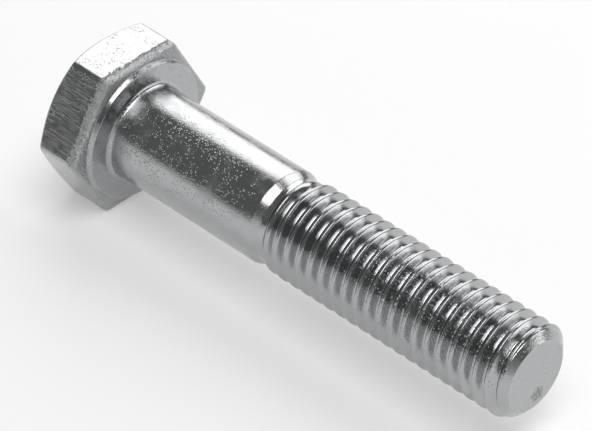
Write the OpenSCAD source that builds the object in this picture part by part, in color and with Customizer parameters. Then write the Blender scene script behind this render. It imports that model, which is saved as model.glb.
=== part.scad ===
// Hex bolt with a plain shank, a rolled metric thread and a chamfered point.
// The bolt lies along +X with one head flat down. The origin is at the centre
// of the bearing face, so the head is at negative X and the shank at positive X.

/* [Head] */
// Width across the flats of the hexagon
head_across_flats = 19; // [18.2:0.1:22.8]
// Height of the head from the bearing face to its top
head_height = 7.5; // [6.2:0.1:9]
// Angle of the chamfer round the top of the head
head_chamfer_angle = 30; // [15:1:35]
// Width of the flat ring left between the chamfer and the flats
head_chamfer_inset = 0.5; // [0.1:0.1:1]

/* [Washer face] */
// Diameter of the raised bearing face
washer_face_d = 17.8; // [16:0.1:18]
// Height of the raised bearing face
washer_face_h = 0.6; // [0.3:0.1:0.8]

/* [Shank] */
// Length from the bearing face to the end of the bolt
bolt_length = 60; // [48:1:80]
// Diameter of the plain shank
shank_d = 11.9; // [11.2:0.05:14.4]
// Length of the plain shank, from the bearing face to the shoulder
shank_length = 22; // [10:0.5:28]
// Radius of the fillet under the head
fillet_r = 0.6; // [0.3:0.1:1]
// Length of the shoulder from the shank down to the blank
shoulder_length = 1.2; // [0.5:0.1:2]

/* [Thread] */
// Major diameter of the thread
thread_d = 11.9; // [10:0.05:14.4]
// Pitch of the thread
thread_pitch = 1.75; // [1:0.05:2.1]
// Turns over which the thread rises from the blank, next to the shoulder
run_in_turns = 1.2; // [0.5:0.1:2]
// Turns over which the thread falls back to the blank, next to the point
run_out_turns = 0.35; // [0.3:0.05:2]
// Angle at which the thread starts, round the axis
thread_start_angle = 20; // [0:5:355]

/* [Point] */
// How far the bevel cuts in from the blank to the flat end face
point_bevel = 0.9; // [0.3:0.05:1.5]
// Length of the chamfered point
point_length = 0.7; // [0.5:0.05:2]

/* [Hidden] */
$fn = 96;

zinc = "#b9bcbd";
zinc_bright = "#cfd1d2";
zinc_dark = "#a3a6a8";

// Basic profile of the metric thread: triangle height, flats at crest and root
triangle_h = thread_pitch * sqrt(3) / 2;
crest_flat = 1 / 8;
root_flat = 1 / 6;
flank = (1 - crest_flat - root_flat) / 2;
// The root lies 17/24 of the triangle height below the crest, rounded in
root_depth = triangle_h * 17 / 24;
crest_r = thread_d / 2;
root_r = crest_r - root_depth;
// The thread is rolled on a blank of the pitch diameter
blank_r = crest_r - triangle_h * 3 / 8;

hex_h = head_height - washer_face_h;
corner_r = head_across_flats / 2 / cos(30);
chamfer_r = head_across_flats / 2 - head_chamfer_inset;
chamfer_drop = (corner_r - chamfer_r) * tan(head_chamfer_angle);

shank_r = shank_d / 2;
foot_r = shank_r + fillet_r;
thread_x = shank_length + shoulder_length;
thread_length = bolt_length - thread_x - point_length;
run_in_length = run_in_turns * thread_pitch;
run_out_length = run_out_turns * thread_pitch;

// The thread mesh: columns round a turn, and profile points along one pitch
columns = 30;
profile_at = [0, crest_flat, crest_flat + flank, crest_flat + flank + root_flat];
profile_r = [crest_r, crest_r, root_r, root_r];
points_per_turn = len(profile_at);
// Least gap between a row of points and the flat ring at either end
end_gap = thread_pitch / 12;
last_row = ceil(points_per_turn * thread_length / thread_pitch);

// Turns a shape that is built along +Z so that it lies along +X
module along_x(x = 0) {
    translate([x, 0, 0])
        rotate([0, 90, 0])
            children();
}

// Hexagon with one flat down, chamfered round the top
module hex_head() {
    color(zinc)
        along_x(-head_height)
            intersection() {
                rotate([0, 0, 30])
                    cylinder(h = hex_h, r = corner_r, $fn = 6);
                union() {
                    cylinder(h = chamfer_drop, r1 = chamfer_r, r2 = corner_r);
                    translate([0, 0, chamfer_drop])
                        cylinder(h = hex_h - chamfer_drop, r = corner_r + 1);
                }
            }
}

// Raised ring round the foot of the shank
module washer_face() {
    color(zinc_bright)
        along_x(-washer_face_h)
            difference() {
                cylinder(h = washer_face_h, d = washer_face_d);
                translate([0, 0, -1])
                    cylinder(h = washer_face_h + 2, r = foot_r);
            }
}

// The shank from its foot in the head to the shoulder, with the fillet where
// it leaves the bearing face, turned as one outline
module plain_shank() {
    color(zinc)
        along_x()
            rotate_extrude()
                difference() {
                    polygon([
                        [0, -washer_face_h], [foot_r, -washer_face_h], [foot_r, fillet_r],
                        [shank_r, fillet_r], [shank_r, shank_length],
                        [blank_r, thread_x], [0, thread_x]
                    ]);
                    translate([foot_r, fillet_r])
                        circle(r = fillet_r);
                }
}

// How far the thread has formed at a height: 0 is the plain blank, 1 is full
function formed(z) = min(1, z / run_in_length, (thread_length - z) / run_out_length);

function row_z(column, row) =
    thread_pitch * (column / columns + floor(row / points_per_turn)
        + profile_at[row % points_per_turn]);

function column_angle(column) = thread_start_angle + 360 * column / columns;

function thread_point(column, row) =
    let(
        z = row_z(column, row),
        r = blank_r + formed(z) * (profile_r[row % points_per_turn] - blank_r)
    )
    [r * cos(column_angle(column)), r * sin(column_angle(column)), z];

function ring_point(column, z) =
    [blank_r * cos(column_angle(column)), blank_r * sin(column_angle(column)), z];

// The rows of one column that lie between the two end rings
function column_rows(column) = [
    for (row = [0:last_row])
        if (row_z(column, row) >= end_gap && row_z(column, row) <= thread_length - end_gap) row
];

// One solid from the start ring to the end ring. Each column of points climbs
// with the helix, so the last column meets the first one a full turn higher:
// there, a row of the next column is counted one turn further on.
module thread_solid() {
    rows = [for (c = [0:columns - 1]) column_rows(c)];
    low = [for (c = [0:columns]) c < columns ? rows[c][0] : rows[0][0] - points_per_turn];
    high = [for (c = [0:columns]) low[c] + len(rows[c % columns]) - 1];
    first = [for (c = 0, n = 0; c <= columns; n = n + len(rows[c % columns]), c = c + 1) n];
    start_ring = first[columns];
    end_ring = start_ring + columns;
    function at(c, row) = first[c % columns] + row - low[c];
    points = concat(
        [for (c = [0:columns - 1], row = rows[c]) thread_point(c, row)],
        [for (c = [0:columns - 1]) ring_point(c, 0)],
        [for (c = [0:columns - 1]) ring_point(c, thread_length)]
    );
    flanks = [for (c = [0:columns - 1], m = [low[c]:high[c + 1] - 1]) each [
        [at(c, m), at(c, m + 1), at(c + 1, m)],
        [at(c + 1, m), at(c, m + 1), at(c + 1, m + 1)]
    ]];
    start_band = [for (c = [0:columns - 1])
        let(next = (c + 1) % columns)
        each [
            [start_ring + c, at(c, low[c]), start_ring + next],
            [start_ring + next, at(c, low[c]), at(c + 1, low[c + 1])]
        ]
    ];
    start_fill = [for (c = [0:columns - 1])
        if (low[c + 1] < low[c])
            for (m = [low[c + 1]:low[c] - 1]) [at(c, low[c]), at(c + 1, m + 1), at(c + 1, m)]
    ];
    end_band = [for (c = [0:columns - 1])
        let(next = (c + 1) % columns)
        each [
            [at(c, high[c]), end_ring + c, at(c + 1, high[c + 1])],
            [at(c + 1, high[c + 1]), end_ring + c, end_ring + next]
        ]
    ];
    end_fill = [for (c = [0:columns - 1])
        if (high[c + 1] < high[c])
            for (m = [high[c + 1]:high[c] - 1]) [at(c + 1, high[c + 1]), at(c, m), at(c, m + 1)]
    ];
    caps = [
        [for (c = [0:columns - 1]) start_ring + c],
        [for (c = [0:columns - 1]) end_ring + columns - 1 - c]
    ];
    polyhedron(points, concat(flanks, start_band, start_fill, end_band, end_fill, caps));
}

module rolled_thread() {
    color(zinc_bright)
        along_x(thread_x)
            thread_solid();
}

module chamfered_point() {
    color(zinc_dark)
        along_x(bolt_length - point_length)
            cylinder(h = point_length, r1 = blank_r, r2 = blank_r - point_bevel);
}

hex_head();
washer_face();
plain_shank();
rolled_thread();
chamfered_point();
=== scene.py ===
import math

import bpy
from mathutils import Matrix, Vector


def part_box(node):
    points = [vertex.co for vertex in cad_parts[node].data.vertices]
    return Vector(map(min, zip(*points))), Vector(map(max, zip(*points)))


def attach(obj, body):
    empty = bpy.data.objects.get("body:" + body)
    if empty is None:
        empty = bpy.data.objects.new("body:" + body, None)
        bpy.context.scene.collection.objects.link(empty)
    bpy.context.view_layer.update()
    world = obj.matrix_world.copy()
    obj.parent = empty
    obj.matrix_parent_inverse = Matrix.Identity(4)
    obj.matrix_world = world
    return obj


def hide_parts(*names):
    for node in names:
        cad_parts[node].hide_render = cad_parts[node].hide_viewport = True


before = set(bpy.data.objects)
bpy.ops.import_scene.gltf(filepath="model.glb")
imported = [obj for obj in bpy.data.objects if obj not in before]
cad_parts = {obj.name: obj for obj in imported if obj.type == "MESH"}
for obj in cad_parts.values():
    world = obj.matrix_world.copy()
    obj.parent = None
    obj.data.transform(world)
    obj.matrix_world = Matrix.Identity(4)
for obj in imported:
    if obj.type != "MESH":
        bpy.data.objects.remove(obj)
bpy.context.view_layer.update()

# --- Hex head ---------------------------------------------------------------
# The upset head of the forging: a hexagon trimmed in a shear die, so its
# flats carry fine lines along the axis and a torn, rolled-over band at the
# lower edge. The top is chamfered at 30 degrees. Bright zinc plate over all.

MM = 0.001
head_low, head_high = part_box("hex_head")
head_top = head_low.x
head_under = head_high.x
half_flats = (head_high.z - head_low.z) / 2
chamfer_inset = 0.5 * MM
chamfer_slope = math.tan(math.radians(30))
corner_softness = 0.4 * MM
chamfer_softness = 0.35 * MM
chamfer_reach = 1.6 * MM
torn_edge = 0.55 * MM
top_edge = 0.3 * MM
top_edge_end = 122
flat_columns = 44
chamfer_rows = 30
flat_rows = 10
top_shares = (0.2, 0.4, 0.6, 0.8, 0.94)
under_shares = (0.9, 0.6, 0.2)
unlimited_r = 1


def soft_min(a, b, softness):
    """The smaller of two lengths, with the corner where they cross rounded."""
    overlap = max(softness - abs(a - b), 0) / softness
    return min(a, b) - overlap * overlap * softness / 4


def arc(x, r, radius, start, end, steps=8):
    """Points (x, r) on an arc about a centre; 0 degrees points along +X and 90 outwards."""
    angles = [math.radians(start + (end - start) * i / steps) for i in range(steps + 1)]
    return [(x + radius * math.cos(a), r + radius * math.sin(a)) for a in angles]


def finished_piece(name, mesh):
    """An object for a mesh, smooth but for its sharp edges."""
    mesh.shade_smooth()
    mesh.set_sharp_from_angle(angle=math.radians(50))
    piece = bpy.data.objects.new(name, mesh)
    bpy.context.scene.collection.objects.link(piece)
    return piece


def rings_to_mesh(name, rings, poles=(None, None), loop=False):
    """A piece from rings of points round the axis, each pole closing one end to a point."""
    count = len(rings[0])
    points = [p for ring in rings for p in ring]
    faces = []
    pairs = len(rings) if loop else len(rings) - 1
    for i in range(pairs):
        a = i * count
        b = (i + 1) % len(rings) * count
        for k in range(count):
            n = (k + 1) % count
            faces.append((a + k, a + n, b + n, b + k))
    for pole, ring, flip in ((poles[0], 0, False), (poles[1], len(rings) - 1, True)):
        if pole is None:
            continue
        points.append(pole)
        for k in range(count):
            n = (k + 1) % count
            tri = (len(points) - 1, ring * count + n, ring * count + k)
            faces.append(tri[::-1] if flip else tri)
    mesh = bpy.data.meshes.new(name)
    mesh.from_pydata(points, [], faces)
    return finished_piece(name, mesh)


def hexagon_radius(angle):
    """Distance from the axis to the trimmed hexagon, flats up and down, corners eased."""
    off_flat = (angle - math.pi / 2 + math.pi / 6) % (math.pi / 3) - math.pi / 6
    near = half_flats / math.cos(off_flat)
    beyond = half_flats / math.cos(math.pi / 3 - abs(off_flat))
    return soft_min(near, beyond, corner_softness)


def head_columns():
    """Angles round the head, closer together near each corner."""
    angles = []
    for side in range(6):
        for k in range(flat_columns):
            share = 0.5 - 0.5 * math.cos(math.pi * k / flat_columns)
            angles.append(math.pi / 3 * (side + share))
    return angles


def head_rows():
    """(x, inset of the hexagon, largest radius) of each ring from the top to the underside."""
    chamfer_r = half_flats - chamfer_inset
    rows = [(head_top, 0, chamfer_r * share) for share in top_shares]
    rounded = arc(head_top + top_edge, chamfer_r - top_edge / 2, top_edge, 180, top_edge_end, 6)
    rows += [(x, 0, r) for x, r in rounded]
    edge_x, edge_r = rounded[-1]
    flat_start = head_top + chamfer_reach
    for k in range(1, chamfer_rows + 1):
        x = edge_x + (flat_start - edge_x) * k / chamfer_rows
        rows.append((x, 0, edge_r + (x - edge_x) / chamfer_slope))
    flat_end = head_under - torn_edge
    for k in range(1, flat_rows):
        rows.append((flat_start + (flat_end - flat_start) * k / flat_rows, 0, unlimited_r))
    for x, r in arc(flat_end, -torn_edge, torn_edge, 90, 0, 9):
        rows.append((x, -r, unlimited_r))
    rows += [(head_under, 0, half_flats * share) for share in under_shares]
    return rows


def head_ring(x, inset, limit):
    """One ring of the head: the hexagon, drawn in by the inset and kept within a circle."""
    ring = []
    for angle in head_columns():
        r = soft_min(hexagon_radius(angle) - inset, limit, chamfer_softness)
        ring.append((x, r * math.cos(angle), r * math.sin(angle)))
    return ring


def linear(hex_colour):
    """An sRGB hex colour as linear RGBA."""
    parts = [int(hex_colour[i:i + 2], 16) / 255 for i in (1, 3, 5)]
    return [p / 12.92 if p <= 0.04045 else ((p + 0.055) / 1.055) ** 2.4 for p in parts] + [1]


def add_node(tree, kind, inputs=None, **settings):
    """Adds a node with its settings, then sets or links its inputs by name or number. A node given
    as an input stands for its first output in use."""
    node = tree.nodes.new(kind)
    for name, value in settings.items():
        setattr(node, name, value)
    for key, value in (inputs or {}).items():
        if isinstance(value, bpy.types.Node):
            value = next(socket for socket in value.outputs if socket.enabled)
        if isinstance(value, bpy.types.NodeSocket):
            tree.links.new(value, node.inputs[key])
        else:
            node.inputs[key].default_value = value
    return node


# The greys of the plate, and the sizes in mm of what plating and handling leave on it. The real
# grain, dents and scoring are at most 0.1 mm and too fine to show, so those three are drawn two
# to three times as coarse.
bright_zinc = ("#a8a9aa", "#b6b7b8")
cloud_mm = 2.4
grain_mm = 0.16
dent_mm = 0.24
dent_cluster_mm = 2.6
dent_gap_mm = 1.3
score_mm = 0.09
score_patch_mm = 2.2
score_stretch = 0.03
tear_mm = 0.3
tear_depth_mm = 0.3
tear_gloss = 0.3
tear_edge_mm = 0.45
tear_edge_swing = 2 * MM


def sized(place, size_mm, detail=3):
    """The inputs of a noise whose features have a size in millimetres."""
    return {"Vector": place, "Scale": 1 / (size_mm * MM), "Detail": detail, "Roughness": 0.6}


def dents(tree, place, knocked):
    """Round hollows at random spots, a few of them deep, in clusters. Knocked is the middle and the
    half sizes of an oval outside which they are rare."""
    spots = add_node(
        tree, "ShaderNodeTexVoronoi", {"Vector": place, "Scale": 1 / (dent_mm * MM), "Randomness": 1},
    ).outputs
    hollow = add_node(
        tree, "ShaderNodeMapRange",
        {"Value": spots["Distance"], "From Min": 0.04, "From Max": 0.42, "To Min": 1, "To Max": 0},
        interpolation_type="SMOOTHSTEP",
    )
    chance = add_node(tree, "ShaderNodeSeparateColor", {0: spots["Color"]})
    share = add_node(
        tree, "ShaderNodeMapRange",
        {"Value": chance, "From Min": 0.25, "From Max": 0.95, "To Min": 0.1, "To Max": 1},
        interpolation_type="SMOOTHSTEP",
    )
    dent = add_node(tree, "ShaderNodeMath", {0: hollow, 1: share}, operation="MULTIPLY")
    if not knocked:
        clusters = add_node(tree, "ShaderNodeTexNoise", sized(place, dent_cluster_mm, 4))
        crowded = add_node(
            tree, "ShaderNodeMapRange", {"Value": clusters, "From Min": 0.42, "From Max": 0.58},
            interpolation_type="SMOOTHSTEP",
        )
        return add_node(tree, "ShaderNodeMath", {0: dent, 1: crowded}, operation="MULTIPLY")
    from_middle = add_node(tree, "ShaderNodeMapping", {
        "Vector": place,
        "Location": [-middle / half for middle, half in zip(*knocked)],
        "Scale": [1 / half for half in knocked[1]],
    })
    away = add_node(tree, "ShaderNodeVectorMath", {0: from_middle}, operation="LENGTH")
    within = add_node(
        tree, "ShaderNodeMapRange",
        {"Value": away, "From Min": 0.6, "From Max": 1.05, "To Min": 1, "To Max": 0.1},
        interpolation_type="SMOOTHSTEP",
    )
    gaps = add_node(tree, "ShaderNodeTexNoise", sized(place, dent_gap_mm, 4))
    filled = add_node(
        tree, "ShaderNodeMapRange", {"Value": gaps, "From Min": 0.36, "From Max": 0.54},
        interpolation_type="SMOOTHSTEP",
    )
    crowded = add_node(tree, "ShaderNodeMath", {0: filled, 1: within}, operation="MULTIPLY")
    return add_node(tree, "ShaderNodeMath", {0: dent, 1: crowded}, operation="MULTIPLY")


def scoring(tree, place):
    """Long fine lines along the axis, as a trimming die leaves them, stronger in some patches."""
    stretched = add_node(
        tree, "ShaderNodeMapping", {"Vector": place, "Scale": (score_stretch, 1, 1)},
    ).outputs["Vector"]
    lines = add_node(tree, "ShaderNodeTexNoise", sized(stretched, score_mm, 1))
    patches = add_node(tree, "ShaderNodeTexNoise", sized(place, score_patch_mm, 2))
    strength = add_node(
        tree, "ShaderNodeMapRange", {"Value": patches, "From Min": 0.24, "From Max": 0.44},
        interpolation_type="SMOOTHSTEP",
    )
    return add_node(tree, "ShaderNodeMath", {0: lines, 1: strength}, operation="MULTIPLY")


def torn_band(tree, place, start, end):
    """Rises from 0 to 1 between two places along the axis, with a ragged border."""
    along = add_node(tree, "ShaderNodeSeparateXYZ", {0: place}).outputs["X"]
    swing = add_node(tree, "ShaderNodeTexNoise", sized(place, tear_edge_mm, 4))
    ragged = add_node(
        tree, "ShaderNodeMath", {0: swing, 1: tear_edge_swing, 2: along}, operation="MULTIPLY_ADD",
    )
    mean = tear_edge_swing / 2
    return add_node(
        tree, "ShaderNodeMapRange", {"Value": ragged, "From Min": start + mean, "From Max": end + mean},
        interpolation_type="SMOOTHSTEP",
    )


def zinc_plate(
    name, tones, grain_depth_mm, dent_depth_mm, gloss, score_depth_mm=0, knocked=None, torn=None, worn=None,
):
    """Bright zinc electroplate on steel: a grey metal that mirrors softly, with a fine grain, small
    dents from the plating barrel, and cloudy patches where the passivation has dulled. Gloss is
    the roughness of the brightest and of the dullest patches. A finish can add scoring, a torn
    band that is matt and coarse between two places along the axis, or worn, a function that gives
    a relief, its depth in mm and the tint that it leaves."""
    material = bpy.data.materials.new(name)
    material.use_nodes = True
    tree = material.node_tree
    shader = tree.nodes["Principled BSDF"]
    shader.inputs["Metallic"].default_value = 1
    place = add_node(tree, "ShaderNodeTexCoord").outputs["Object"]

    clouds = add_node(tree, "ShaderNodeTexNoise", sized(place, cloud_mm, 6))
    tint = add_node(
        tree, "ShaderNodeMix",
        {"Factor": clouds, "A": linear(tones[0]), "B": linear(tones[1])}, data_type="RGBA",
    )
    roughness = add_node(
        tree, "ShaderNodeMapRange",
        {"Value": clouds, "From Min": 0.44, "From Max": 0.66, "To Min": gloss[0], "To Max": gloss[1]},
        interpolation_type="SMOOTHSTEP",
    )
    grain = add_node(tree, "ShaderNodeTexNoise", sized(place, grain_mm))
    reliefs = [(grain, grain_depth_mm, False), (dents(tree, place, knocked), dent_depth_mm, True)]
    if score_depth_mm:
        reliefs.append((scoring(tree, place), score_depth_mm, False))
    if torn:
        band = torn_band(tree, place, *torn)
        roughness = add_node(tree, "ShaderNodeMix", {"Factor": band, "A": roughness, "B": tear_gloss})
        tears = add_node(tree, "ShaderNodeTexNoise", sized(place, tear_mm, 2))
        torn_relief = add_node(tree, "ShaderNodeMath", {0: tears, 1: band}, operation="MULTIPLY")
        reliefs.append((torn_relief, tear_depth_mm, False))
    if worn:
        relief, depth_mm, tint = worn(tree, place, tint)
        reliefs.append((relief, depth_mm, False))

    normal = None
    for height, depth_mm, inwards in reliefs:
        values = {"Strength": 1, "Distance": depth_mm * MM, "Height": height}
        if normal:
            values["Normal"] = normal
        normal = add_node(tree, "ShaderNodeBump", values, invert=inwards)
    for label, source in (("Base Color", tint), ("Roughness", roughness), ("Normal", normal)):
        tree.links.new(next(socket for socket in source.outputs if socket.enabled), shader.inputs[label])
    return material


head = rings_to_mesh(
    "hex_head_forged",
    [head_ring(*row) for row in head_rows()],
    poles=((head_top, 0, 0), (head_under, 0, 0)),
)

# Zinc on trimmed steel: the scoring makes a flat look brushed and dark from one side, and flash
# white as a whole from the other. The torn band stays a grainy mid grey from everywhere.
torn_from = head_under - 1.3 * MM
torn_to = head_under - 0.8 * MM
head.data.materials.append(zinc_plate(
    "trimmed_zinc", bright_zinc, grain_depth_mm=0.006, dent_depth_mm=0.04, gloss=(0.14, 0.22),
    score_depth_mm=0.018, torn=(torn_from, torn_to),
))
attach(head, "root")
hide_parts("hex_head")

# --- Washer face ------------------------------------------------------------
# The round bearing collar coined under the head by the die: a flat ring with
# a rounded step that runs out into the underside of the hexagon. Same steel
# and zinc plate as the head, but smooth, because the die has pressed it.

washer_low, washer_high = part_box("washer_face")
shank_low, shank_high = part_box("plain_shank")
washer_r = washer_high.z
shank_foot_r = shank_high.z
turn_columns = 192


def turned(name, outline, poles=(None, None), loop=False):
    """A piece turned about the axis from an outline of (x, r) points."""
    angles = [2 * math.pi * k / turn_columns for k in range(turn_columns)]
    rings = [[(x, r * math.cos(a), r * math.sin(a)) for a in angles] for x, r in outline]
    return rings_to_mesh(name, rings, poles, loop)


toe_radius = 0.15 * MM
toe_spread = 0.7
rim_radius = 0.2 * MM
bevel_angle = 66
flat_width = 1.6 * MM
sunk_x = washer_low.x - 0.05 * MM
bevel_start = (washer_low.x + toe_radius, washer_r + toe_radius * toe_spread)
bevel_run = washer_high.x - rim_radius - bevel_start[0]
rim_r = washer_r - bevel_run * math.tan(math.radians(90 - bevel_angle)) - rim_radius
outline = [(sunk_x, bevel_start[1])]
outline += arc(*bevel_start, toe_radius, 180, 180 + bevel_angle, 6)
outline += arc(washer_high.x - rim_radius, rim_r, rim_radius, bevel_angle, 0, 6)
outline += [(washer_high.x, washer_r - flat_width), (washer_high.x, shank_foot_r), (sunk_x, shank_foot_r)]
washer = turned("washer_face_coined", outline, loop=True)

# Zinc on coined steel: the die has pressed it smooth, so the bevel and the rim carry long clean
# highlights, and the ring itself is an even grey.
washer.data.materials.append(zinc_plate(
    "coined_zinc", ("#a6a7a8", "#b2b3b4"), grain_depth_mm=0.005, dent_depth_mm=0.04, gloss=(0.1, 0.4),
))
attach(washer, "root")
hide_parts("washer_face")

# --- Plain shank ------------------------------------------------------------
# The unthreaded length of the drawn bar: round, with a fillet under the head
# and a soft shoulder down to the thinner blank that the thread is rolled on.
# The plate shows the pits and handling nicks of bolts tumbled in a barrel.

thread_low, thread_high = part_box("rolled_thread")
point_low, point_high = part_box("chamfered_point")
thread_x = thread_low.x
shank_r = 5.95 * MM
blank_r = point_high.z
fillet = shank_foot_r - shank_r
shoulder_x = thread_x - 1.3 * MM
shoulder_blend = 0.6 * MM
shoulder_ease = 0.25 * MM
barrel_shares = (0.2, 0.4, 0.6, 0.8)
drop = shank_r - blank_r
slope = math.degrees(math.atan2(drop, thread_x - shoulder_x - shoulder_ease))

outline = [(shank_low.x, shank_foot_r)]
outline += arc(fillet, shank_foot_r, fillet, 180, 270, 12)
outline += [(shoulder_x * share, shank_r) for share in barrel_shares]
outline += arc(shoulder_x, shank_r - shoulder_blend, shoulder_blend, 90, 90 - slope, 5)
outline += arc(thread_x, blank_r + shoulder_blend, shoulder_blend, 270 - slope, 270, 5)
shank = turned(
    "plain_shank_drawn", outline,
    poles=((shank_low.x, 0, 0), (thread_x, 0, 0)),
)

# Zinc on drawn steel, plated in a barrel: the smooth bar mirrors a light as one long white band,
# and on the side that took the knocks the dents sparkle as bright dots in its dark reflection.
knocked_side = Vector((0, -0.77, 0.64))
knocked_middle = Vector((9 * MM, 0, 0)) + knocked_side * shank_r
knocked_reach = (14 * MM, shank_r, shank_r)
shank.data.materials.append(zinc_plate(
    "barrel_zinc", bright_zinc, grain_depth_mm=0.018, dent_depth_mm=0.1, gloss=(0.11, 0.32),
    knocked=(knocked_middle, knocked_reach),
))
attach(shank, "root")
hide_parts("plain_shank")

# --- Rolled thread ----------------------------------------------------------
# M12 coarse right-hand thread, pressed into the blank between flat dies. It
# rises out of the blank over the first turn, runs at full depth with burnished
# flanks and a rounded root, and falls back to the blank just before the point.

thread_pitch = 1.75 * MM
thread_d = 11.9 * MM
thread_length = thread_high.x - thread_low.x
thread_start_angle = math.radians(20)
triangle_h = thread_pitch * math.sqrt(3) / 2
crest_flat = 1 / 8
root_depth = triangle_h * 17 / 24
weld = 0.002 * MM


def wrapped(tree, share, radius, x, start_angle):
    """A place on the bolt: a share of a turn from straight down, a radius, and how far along."""
    angle = add_node(
        tree, "ShaderNodeMath", {0: share, 1: 2 * math.pi, 2: start_angle}, operation="MULTIPLY_ADD",
    )
    sine = add_node(tree, "ShaderNodeMath", {0: angle}, operation="SINE")
    cosine = add_node(tree, "ShaderNodeMath", {0: angle}, operation="COSINE")
    across = add_node(tree, "ShaderNodeMath", {0: sine, 1: radius}, operation="MULTIPLY")
    down = add_node(tree, "ShaderNodeMath", {0: cosine, 1: radius}, operation="MULTIPLY")
    height = add_node(tree, "ShaderNodeMath", {0: down, 1: -1}, operation="MULTIPLY")
    return add_node(tree, "ShaderNodeCombineXYZ", {"X": x, "Y": across, "Z": height})


def thread_depth(tree, turns, given):
    """Depth below the crest at a height in turns: flat crest, 60 degree flanks, rounded root."""
    shifted = add_node(tree, "ShaderNodeMath", {0: turns, 1: 0.5 - crest_flat / 2}, operation="ADD")
    phase = add_node(tree, "ShaderNodeMath", {0: shifted}, operation="FRACT")
    past_crest = add_node(tree, "ShaderNodeMath", {0: phase, 1: 0.5}, operation="SUBTRACT")
    from_crest = add_node(tree, "ShaderNodeMath", {0: past_crest}, operation="ABSOLUTE")
    from_flat = add_node(tree, "ShaderNodeMath", {0: from_crest, 1: crest_flat / 2}, operation="SUBTRACT")
    steep = add_node(tree, "ShaderNodeMath", {0: from_flat, 1: math.sqrt(3)}, operation="MULTIPLY")
    flank = add_node(tree, "ShaderNodeMath", {0: steep, 1: given["Pitch"]}, operation="MULTIPLY")
    eased = add_node(
        tree, "ShaderNodeMath", {0: flank, 1: 0, 2: given["Crest rounding"]}, operation="SMOOTH_MAX",
    )
    return add_node(
        tree, "ShaderNodeMath", {0: eased, 1: given["Root depth"], 2: given["Root rounding"]},
        operation="SMOOTH_MIN",
    )


def thread_formed(tree, height, given):
    """How far the thread has formed at a height: 0 is the plain blank, 1 is full depth."""
    rise = add_node(
        tree, "ShaderNodeMapRange", {"Value": height, "From Min": 0, "From Max": given["Run-in"]},
        interpolation_type="SMOOTHSTEP",
    )
    left = add_node(tree, "ShaderNodeMath", {0: given["Length"], 1: height}, operation="SUBTRACT")
    fall = add_node(
        tree, "ShaderNodeMapRange", {"Value": left, "From Min": 0, "From Max": given["Run-out"]},
        interpolation_type="SMOOTHSTEP",
    )
    return add_node(tree, "ShaderNodeMath", {0: rise, 1: fall}, operation="MULTIPLY")


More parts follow.
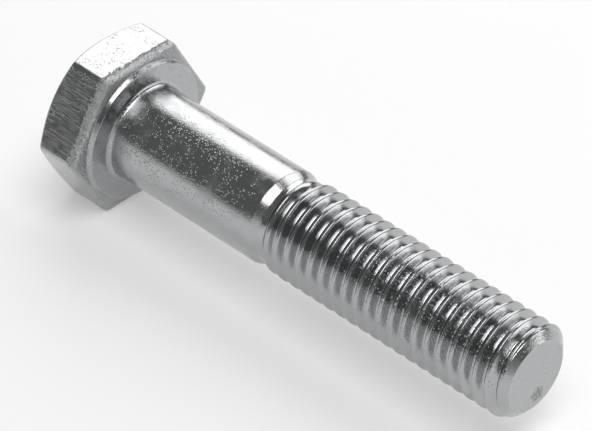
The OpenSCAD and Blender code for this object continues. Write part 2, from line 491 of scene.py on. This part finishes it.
def thread_tree():
    """Geometry Nodes tree that wraps a flat grid into the thread. The grid climbs one pitch in
    each turn, so every crest and root follows a line of the grid all the way round."""
    tree = bpy.data.node_groups.new("rolled_thread", "GeometryNodeTree")
    tree.interface.new_socket("Geometry", in_out="OUTPUT", socket_type="NodeSocketGeometry")
    lengths = (
        "Pitch", "Length", "Start", "Crest radius", "Blank radius", "Root depth", "Crest rounding",
        "Root rounding", "Run-in", "Run-out", "Start angle",
    )
    counts = ("Turns", "Columns", "Rows per turn")
    for kind, labels in (
        ("NodeSocketFloat", lengths), ("NodeSocketInt", counts), ("NodeSocketMaterial", ("Material",)),
    ):
        for label in labels:
            tree.interface.new_socket(label, in_out="INPUT", socket_type=kind)
    given = add_node(tree, "NodeGroupInput").outputs

    columns = add_node(tree, "ShaderNodeMath", {0: given["Columns"], 1: 1}, operation="ADD")
    rows = add_node(
        tree, "ShaderNodeMath", {0: given["Turns"], 1: given["Rows per turn"], 2: 1},
        operation="MULTIPLY_ADD",
    )
    grid = add_node(
        tree, "GeometryNodeMeshGrid", {"Size X": 1, "Size Y": 1, "Vertices X": columns, "Vertices Y": rows},
    )
    spot = add_node(tree, "ShaderNodeSeparateXYZ", {0: add_node(tree, "GeometryNodeInputPosition")}).outputs
    share = add_node(tree, "ShaderNodeMath", {0: spot["X"], 1: 0.5}, operation="ADD")
    up_share = add_node(tree, "ShaderNodeMath", {0: spot["Y"], 1: 0.5}, operation="ADD")
    turns = add_node(tree, "ShaderNodeMath", {0: up_share, 1: given["Turns"]}, operation="MULTIPLY")

    # Height above the shoulder, held between the two ends
    first_down = add_node(tree, "ShaderNodeMath", {0: turns, 1: 1}, operation="SUBTRACT")
    climbed_turns = add_node(tree, "ShaderNodeMath", {0: first_down, 1: share}, operation="ADD")
    climbed = add_node(tree, "ShaderNodeMath", {0: climbed_turns, 1: given["Pitch"]}, operation="MULTIPLY")
    above_start = add_node(tree, "ShaderNodeMath", {0: climbed, 1: 0}, operation="MAXIMUM")
    height = add_node(tree, "ShaderNodeMath", {0: above_start, 1: given["Length"]}, operation="MINIMUM")

    full = add_node(
        tree, "ShaderNodeMath", {0: given["Crest radius"], 1: thread_depth(tree, turns, given)},
        operation="SUBTRACT",
    )
    above_blank = add_node(tree, "ShaderNodeMath", {0: full, 1: given["Blank radius"]}, operation="SUBTRACT")
    radius = add_node(
        tree, "ShaderNodeMath",
        {0: thread_formed(tree, height, given), 1: above_blank, 2: given["Blank radius"]},
        operation="MULTIPLY_ADD",
    )
    x = add_node(tree, "ShaderNodeMath", {0: height, 1: given["Start"]}, operation="ADD")
    place = wrapped(tree, share, radius, x, given["Start angle"])
    wall = add_node(tree, "GeometryNodeSetPosition", {"Geometry": grid, "Position": place})

    # A disc closes each end, on the same points as the wall's last ring
    disc = add_node(tree, "GeometryNodeMeshCircle", {"Vertices": given["Columns"]}, fill_type="NGON")
    index = add_node(tree, "GeometryNodeInputIndex")
    disc_share = add_node(tree, "ShaderNodeMath", {0: index, 1: given["Columns"]}, operation="DIVIDE")
    end = add_node(tree, "ShaderNodeMath", {0: given["Start"], 1: given["Length"]}, operation="ADD")
    discs = []
    for x in (given["Start"], end):
        place = wrapped(tree, disc_share, given["Blank radius"], x, given["Start angle"])
        discs.append(add_node(tree, "GeometryNodeSetPosition", {"Geometry": disc, "Position": place}))
    start_disc = add_node(tree, "GeometryNodeFlipFaces", {0: discs[0]})

    joined = add_node(tree, "GeometryNodeJoinGeometry")
    for part in (discs[1], start_disc, wall):
        tree.links.new(part.outputs[0], joined.inputs[0])
    merged = add_node(tree, "GeometryNodeMergeByDistance", {"Geometry": joined, "Distance": weld})
    real = add_node(tree, "GeometryNodeRealizeInstances", {0: merged})
    finished = add_node(
        tree, "GeometryNodeSetMaterial", {"Geometry": real, "Material": given["Material"]},
    )
    add_node(tree, "NodeGroupOutput", {"Geometry": finished})
    return tree


def grown(name, tree, values):
    """A plain mesh object made by a Geometry Nodes tree from its named inputs."""
    holder = bpy.data.objects.new(name + "_holder", bpy.data.meshes.new(name + "_holder"))
    bpy.context.scene.collection.objects.link(holder)
    modifier = holder.modifiers.new("grow", "NODES")
    modifier.node_group = tree
    for item in tree.interface.items_tree:
        if item.in_out == "INPUT":
            modifier[item.identifier] = values[item.name]
    bpy.context.view_layer.update()
    evaluated = holder.evaluated_get(bpy.context.evaluated_depsgraph_get())
    mesh = bpy.data.meshes.new_from_object(evaluated)
    mesh.name = name
    holder.modifiers.remove(modifier)
    bpy.data.objects.remove(holder)
    return finished_piece(name, mesh)


# Zinc on rolled steel: the dies burnish the flanks and roots, so it is the glossiest finish, with
# thin bright lines along the crests and short white flashes in the roots.
knocked_middle = Vector((48 * MM, 0, 0)) + knocked_side * shank_r
knocked_reach = (16 * MM, shank_r, shank_r)
rolled_zinc = zinc_plate(
    "rolled_zinc", bright_zinc, grain_depth_mm=0.009, dent_depth_mm=0.065, gloss=(0.1, 0.24),
    knocked=(knocked_middle, knocked_reach),
)
thread = grown("rolled_thread_full", thread_tree(), {
    "Pitch": thread_pitch,
    "Length": thread_length,
    "Start": thread_low.x,
    "Crest radius": thread_d / 2,
    "Blank radius": blank_r,
    "Root depth": root_depth,
    "Crest rounding": 0.1 * MM,
    "Root rounding": 1.0 * MM,
    "Run-in": 1.2 * thread_pitch,
    "Run-out": 0.35 * thread_pitch,
    "Start angle": thread_start_angle,
    "Turns": math.ceil(thread_length / thread_pitch) + 1,
    "Columns": 160,
    "Rows per turn": 24,
    "Material": rolled_zinc,
})
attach(thread, "root")
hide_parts("rolled_thread")

# --- Chamfered point --------------------------------------------------------
# The end of the blank, bevelled and rounded before rolling so that the bolt
# starts in its nut. The face is where the wire was sheared to length: flat,
# slightly dull, and scuffed where bolts have knocked together.

face_r = 4.5 * MM
rim = 0.16 * MM
rim_inset = rim * 0.4
rim_end = -20
face_sink = 0.03 * MM
face_shares = (0.94, 0.9, 0.5, 0.2)
bevel_slope = math.degrees(math.atan2(blank_r - face_r, point_high.x - point_low.x))
outline = [(point_low.x, blank_r)]
outline += arc(point_high.x - rim, face_r - rim_inset, rim, 90 - bevel_slope, rim_end, 8)
face_x = point_high.x - face_sink
outline += [(face_x, face_r * share) for share in face_shares]
point = turned(
    "chamfered_point_bevelled", outline,
    poles=((point_low.x, 0, 0), (face_x, 0, 0)),
)

scuff_place = (point_high.x, 0.6 * MM, -2.9 * MM)
scuff_r = 1.1 * MM
scuff_tone = "#5a5b5c"
scuff_depth_mm = 0.06
scuff_edge_mm = 0.5
scratch_mm = 0.14
grime_mm = 0.22


def scuffed(tree, place, tint):
    """A scuff on the end face: its relief, the relief's depth in mm and the tint it leaves."""
    away = add_node(tree, "ShaderNodeVectorMath", {0: place, 1: scuff_place}, operation="DISTANCE")
    swing = add_node(tree, "ShaderNodeTexNoise", sized(place, scuff_edge_mm, 4))
    ragged = add_node(
        tree, "ShaderNodeMath", {0: swing, 1: -2 * scuff_r, 2: away}, operation="MULTIPLY_ADD",
    )
    spot = add_node(
        tree, "ShaderNodeMapRange",
        {"Value": ragged, "From Min": -0.7 * scuff_r, "From Max": 0.2 * scuff_r, "To Min": 1, "To Max": 0},
        interpolation_type="SMOOTHSTEP",
    )
    scratches = add_node(tree, "ShaderNodeTexNoise", sized(place, scratch_mm, 2))
    relief = add_node(tree, "ShaderNodeMath", {0: scratches, 1: spot}, operation="MULTIPLY")
    specks = add_node(tree, "ShaderNodeTexNoise", sized(place, grime_mm))
    grime = add_node(
        tree, "ShaderNodeMapRange", {"Value": specks, "From Min": 0.35, "From Max": 0.62},
        interpolation_type="SMOOTHSTEP",
    )
    darkened = add_node(tree, "ShaderNodeMath", {0: spot, 1: grime}, operation="MULTIPLY")
    tint = add_node(
        tree, "ShaderNodeMix", {"Factor": darkened, "A": tint, "B": linear(scuff_tone)}, data_type="RGBA",
    )
    return relief, scuff_depth_mm, tint


# Zinc on sheared steel: the shear tears the metal finely, so the face is an even, slightly dull
# grey without clear reflections, and the scuff shows as a darker smear.
point.data.materials.append(zinc_plate(
    "sheared_zinc", ("#a8a9aa", "#b2b3b4"), grain_depth_mm=0.012, dent_depth_mm=0.04,
    gloss=(0.16, 0.32), worn=scuffed,
))
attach(point, "root")
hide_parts("chamfered_point")

# --- Floor, light and camera ------------------------------------------------
# Not part of the bolt: a pale light table, soft boxes and white cards in a dim
# room, and a long lens from above the point end, tipped a little.

# The table's size and the lamps' are in metres.
floor_size = 6
floor_mesh = bpy.data.meshes.new("floor")
half = floor_size / 2
floor_z = head_low.z
floor_mesh.from_pydata(
    [(-half, -half, floor_z), (half, -half, floor_z), (half, half, floor_z), (-half, half, floor_z)],
    [], [(0, 1, 2, 3)],
)
floor = bpy.data.objects.new("floor", floor_mesh)
bpy.context.scene.collection.objects.link(floor)

# Opal acrylic lit from below: plain, matt and almost white, with a weak glow that thins shadows.
floor_finish = bpy.data.materials.new("light_table")
floor_finish.use_nodes = True
floor_shader = floor_finish.node_tree.nodes["Principled BSDF"]
floor_shader.inputs["Base Color"].default_value = linear("#d8d8d8")
floor_shader.inputs["Roughness"].default_value = 0.9
floor_shader.inputs["Specular IOR Level"].default_value = 0
floor_shader.inputs["Emission Color"].default_value = linear("#ffffff")
floor_shader.inputs["Emission Strength"].default_value = 0.3
floor_mesh.materials.append(floor_finish)

aim = Vector((24.35, -0.35, 1.85)) * MM


def soft_box(name, direction, along, length, depth, radiance, distance=0.6):
    """A soft box that faces the bolt from a direction, with its length along a second one. Its
    radiance stays the same at any size."""
    light = bpy.data.lights.new(name, "AREA")
    light.shape = "RECTANGLE"
    light.size = length
    light.size_y = depth
    light.energy = radiance * math.pi * length * depth
    box = bpy.data.objects.new(name, light)
    z_axis = Vector(direction).normalized()
    x_axis = (Vector(along) - z_axis * z_axis.dot(Vector(along))).normalized()
    y_axis = z_axis.cross(x_axis)
    box.matrix_world = Matrix.Translation(aim + z_axis * distance) @ Matrix(
        (x_axis, y_axis, z_axis)
    ).transposed().to_4x4()
    box.visible_camera = False
    bpy.context.scene.collection.objects.link(box)


soft_box("back_box", (-0.52, 0.66, 0.53), (1, 0, 0), length=0.52, depth=0.5, radiance=2.2)
soft_box("side_box", (0.2, 0.78, 0.6), (1, 0, 0), length=0.28, depth=0.5, radiance=2.2)
soft_box("right_card", (0.8, 0.58, 0.12), (-0.58, 0.8, 0), length=0.34, depth=0.2, radiance=1.8)
soft_box("top_box", (0.27, -0.22, 0.93), (0, 1, 0), length=0.44, depth=0.3, radiance=4.5)
soft_box("front_card", (0.05, -0.99, 0.04), (1, 0, 0.17), length=1.0, depth=0.2, radiance=0.6)

world = bpy.data.worlds.new("dim_room")
world.use_nodes = True
room = world.node_tree
room.nodes.clear()
seen = add_node(room, "ShaderNodeLightPath").outputs["Is Camera Ray"]
dim = add_node(room, "ShaderNodeBackground", {"Color": linear("#e8e9ea"), "Strength": 0.2})
pale = add_node(room, "ShaderNodeBackground", {"Color": linear("#f4f4f4"), "Strength": 1})
mixed = add_node(room, "ShaderNodeMixShader", {0: seen, 1: dim, 2: pale})
add_node(room, "ShaderNodeOutputWorld", {"Surface": mixed})
bpy.context.scene.world = world
bpy.context.scene.view_settings.view_transform = "Standard"

azimuth, elevation, roll = (math.radians(a) for a in (42.2, 39.5, -2.15))
distance = 472.7 * MM
back = Vector((
    math.sin(azimuth) * math.cos(elevation),
    -math.cos(azimuth) * math.cos(elevation),
    math.sin(elevation),
))
level = Vector((0, 0, 1)).cross(back).normalized()
upright = back.cross(level)
right = level * math.cos(roll) - upright * math.sin(roll)
up = back.cross(right)
lens = bpy.data.cameras.new("long_lens")
lens.lens = 255.4
lens.sensor_width = 36
camera = bpy.data.objects.new("camera", lens)
camera.matrix_world = Matrix.Translation(aim + back * distance) @ Matrix(
    (right, up, back)
).transposed().to_4x4()
bpy.context.scene.collection.objects.link(camera)
bpy.context.scene.camera = camera
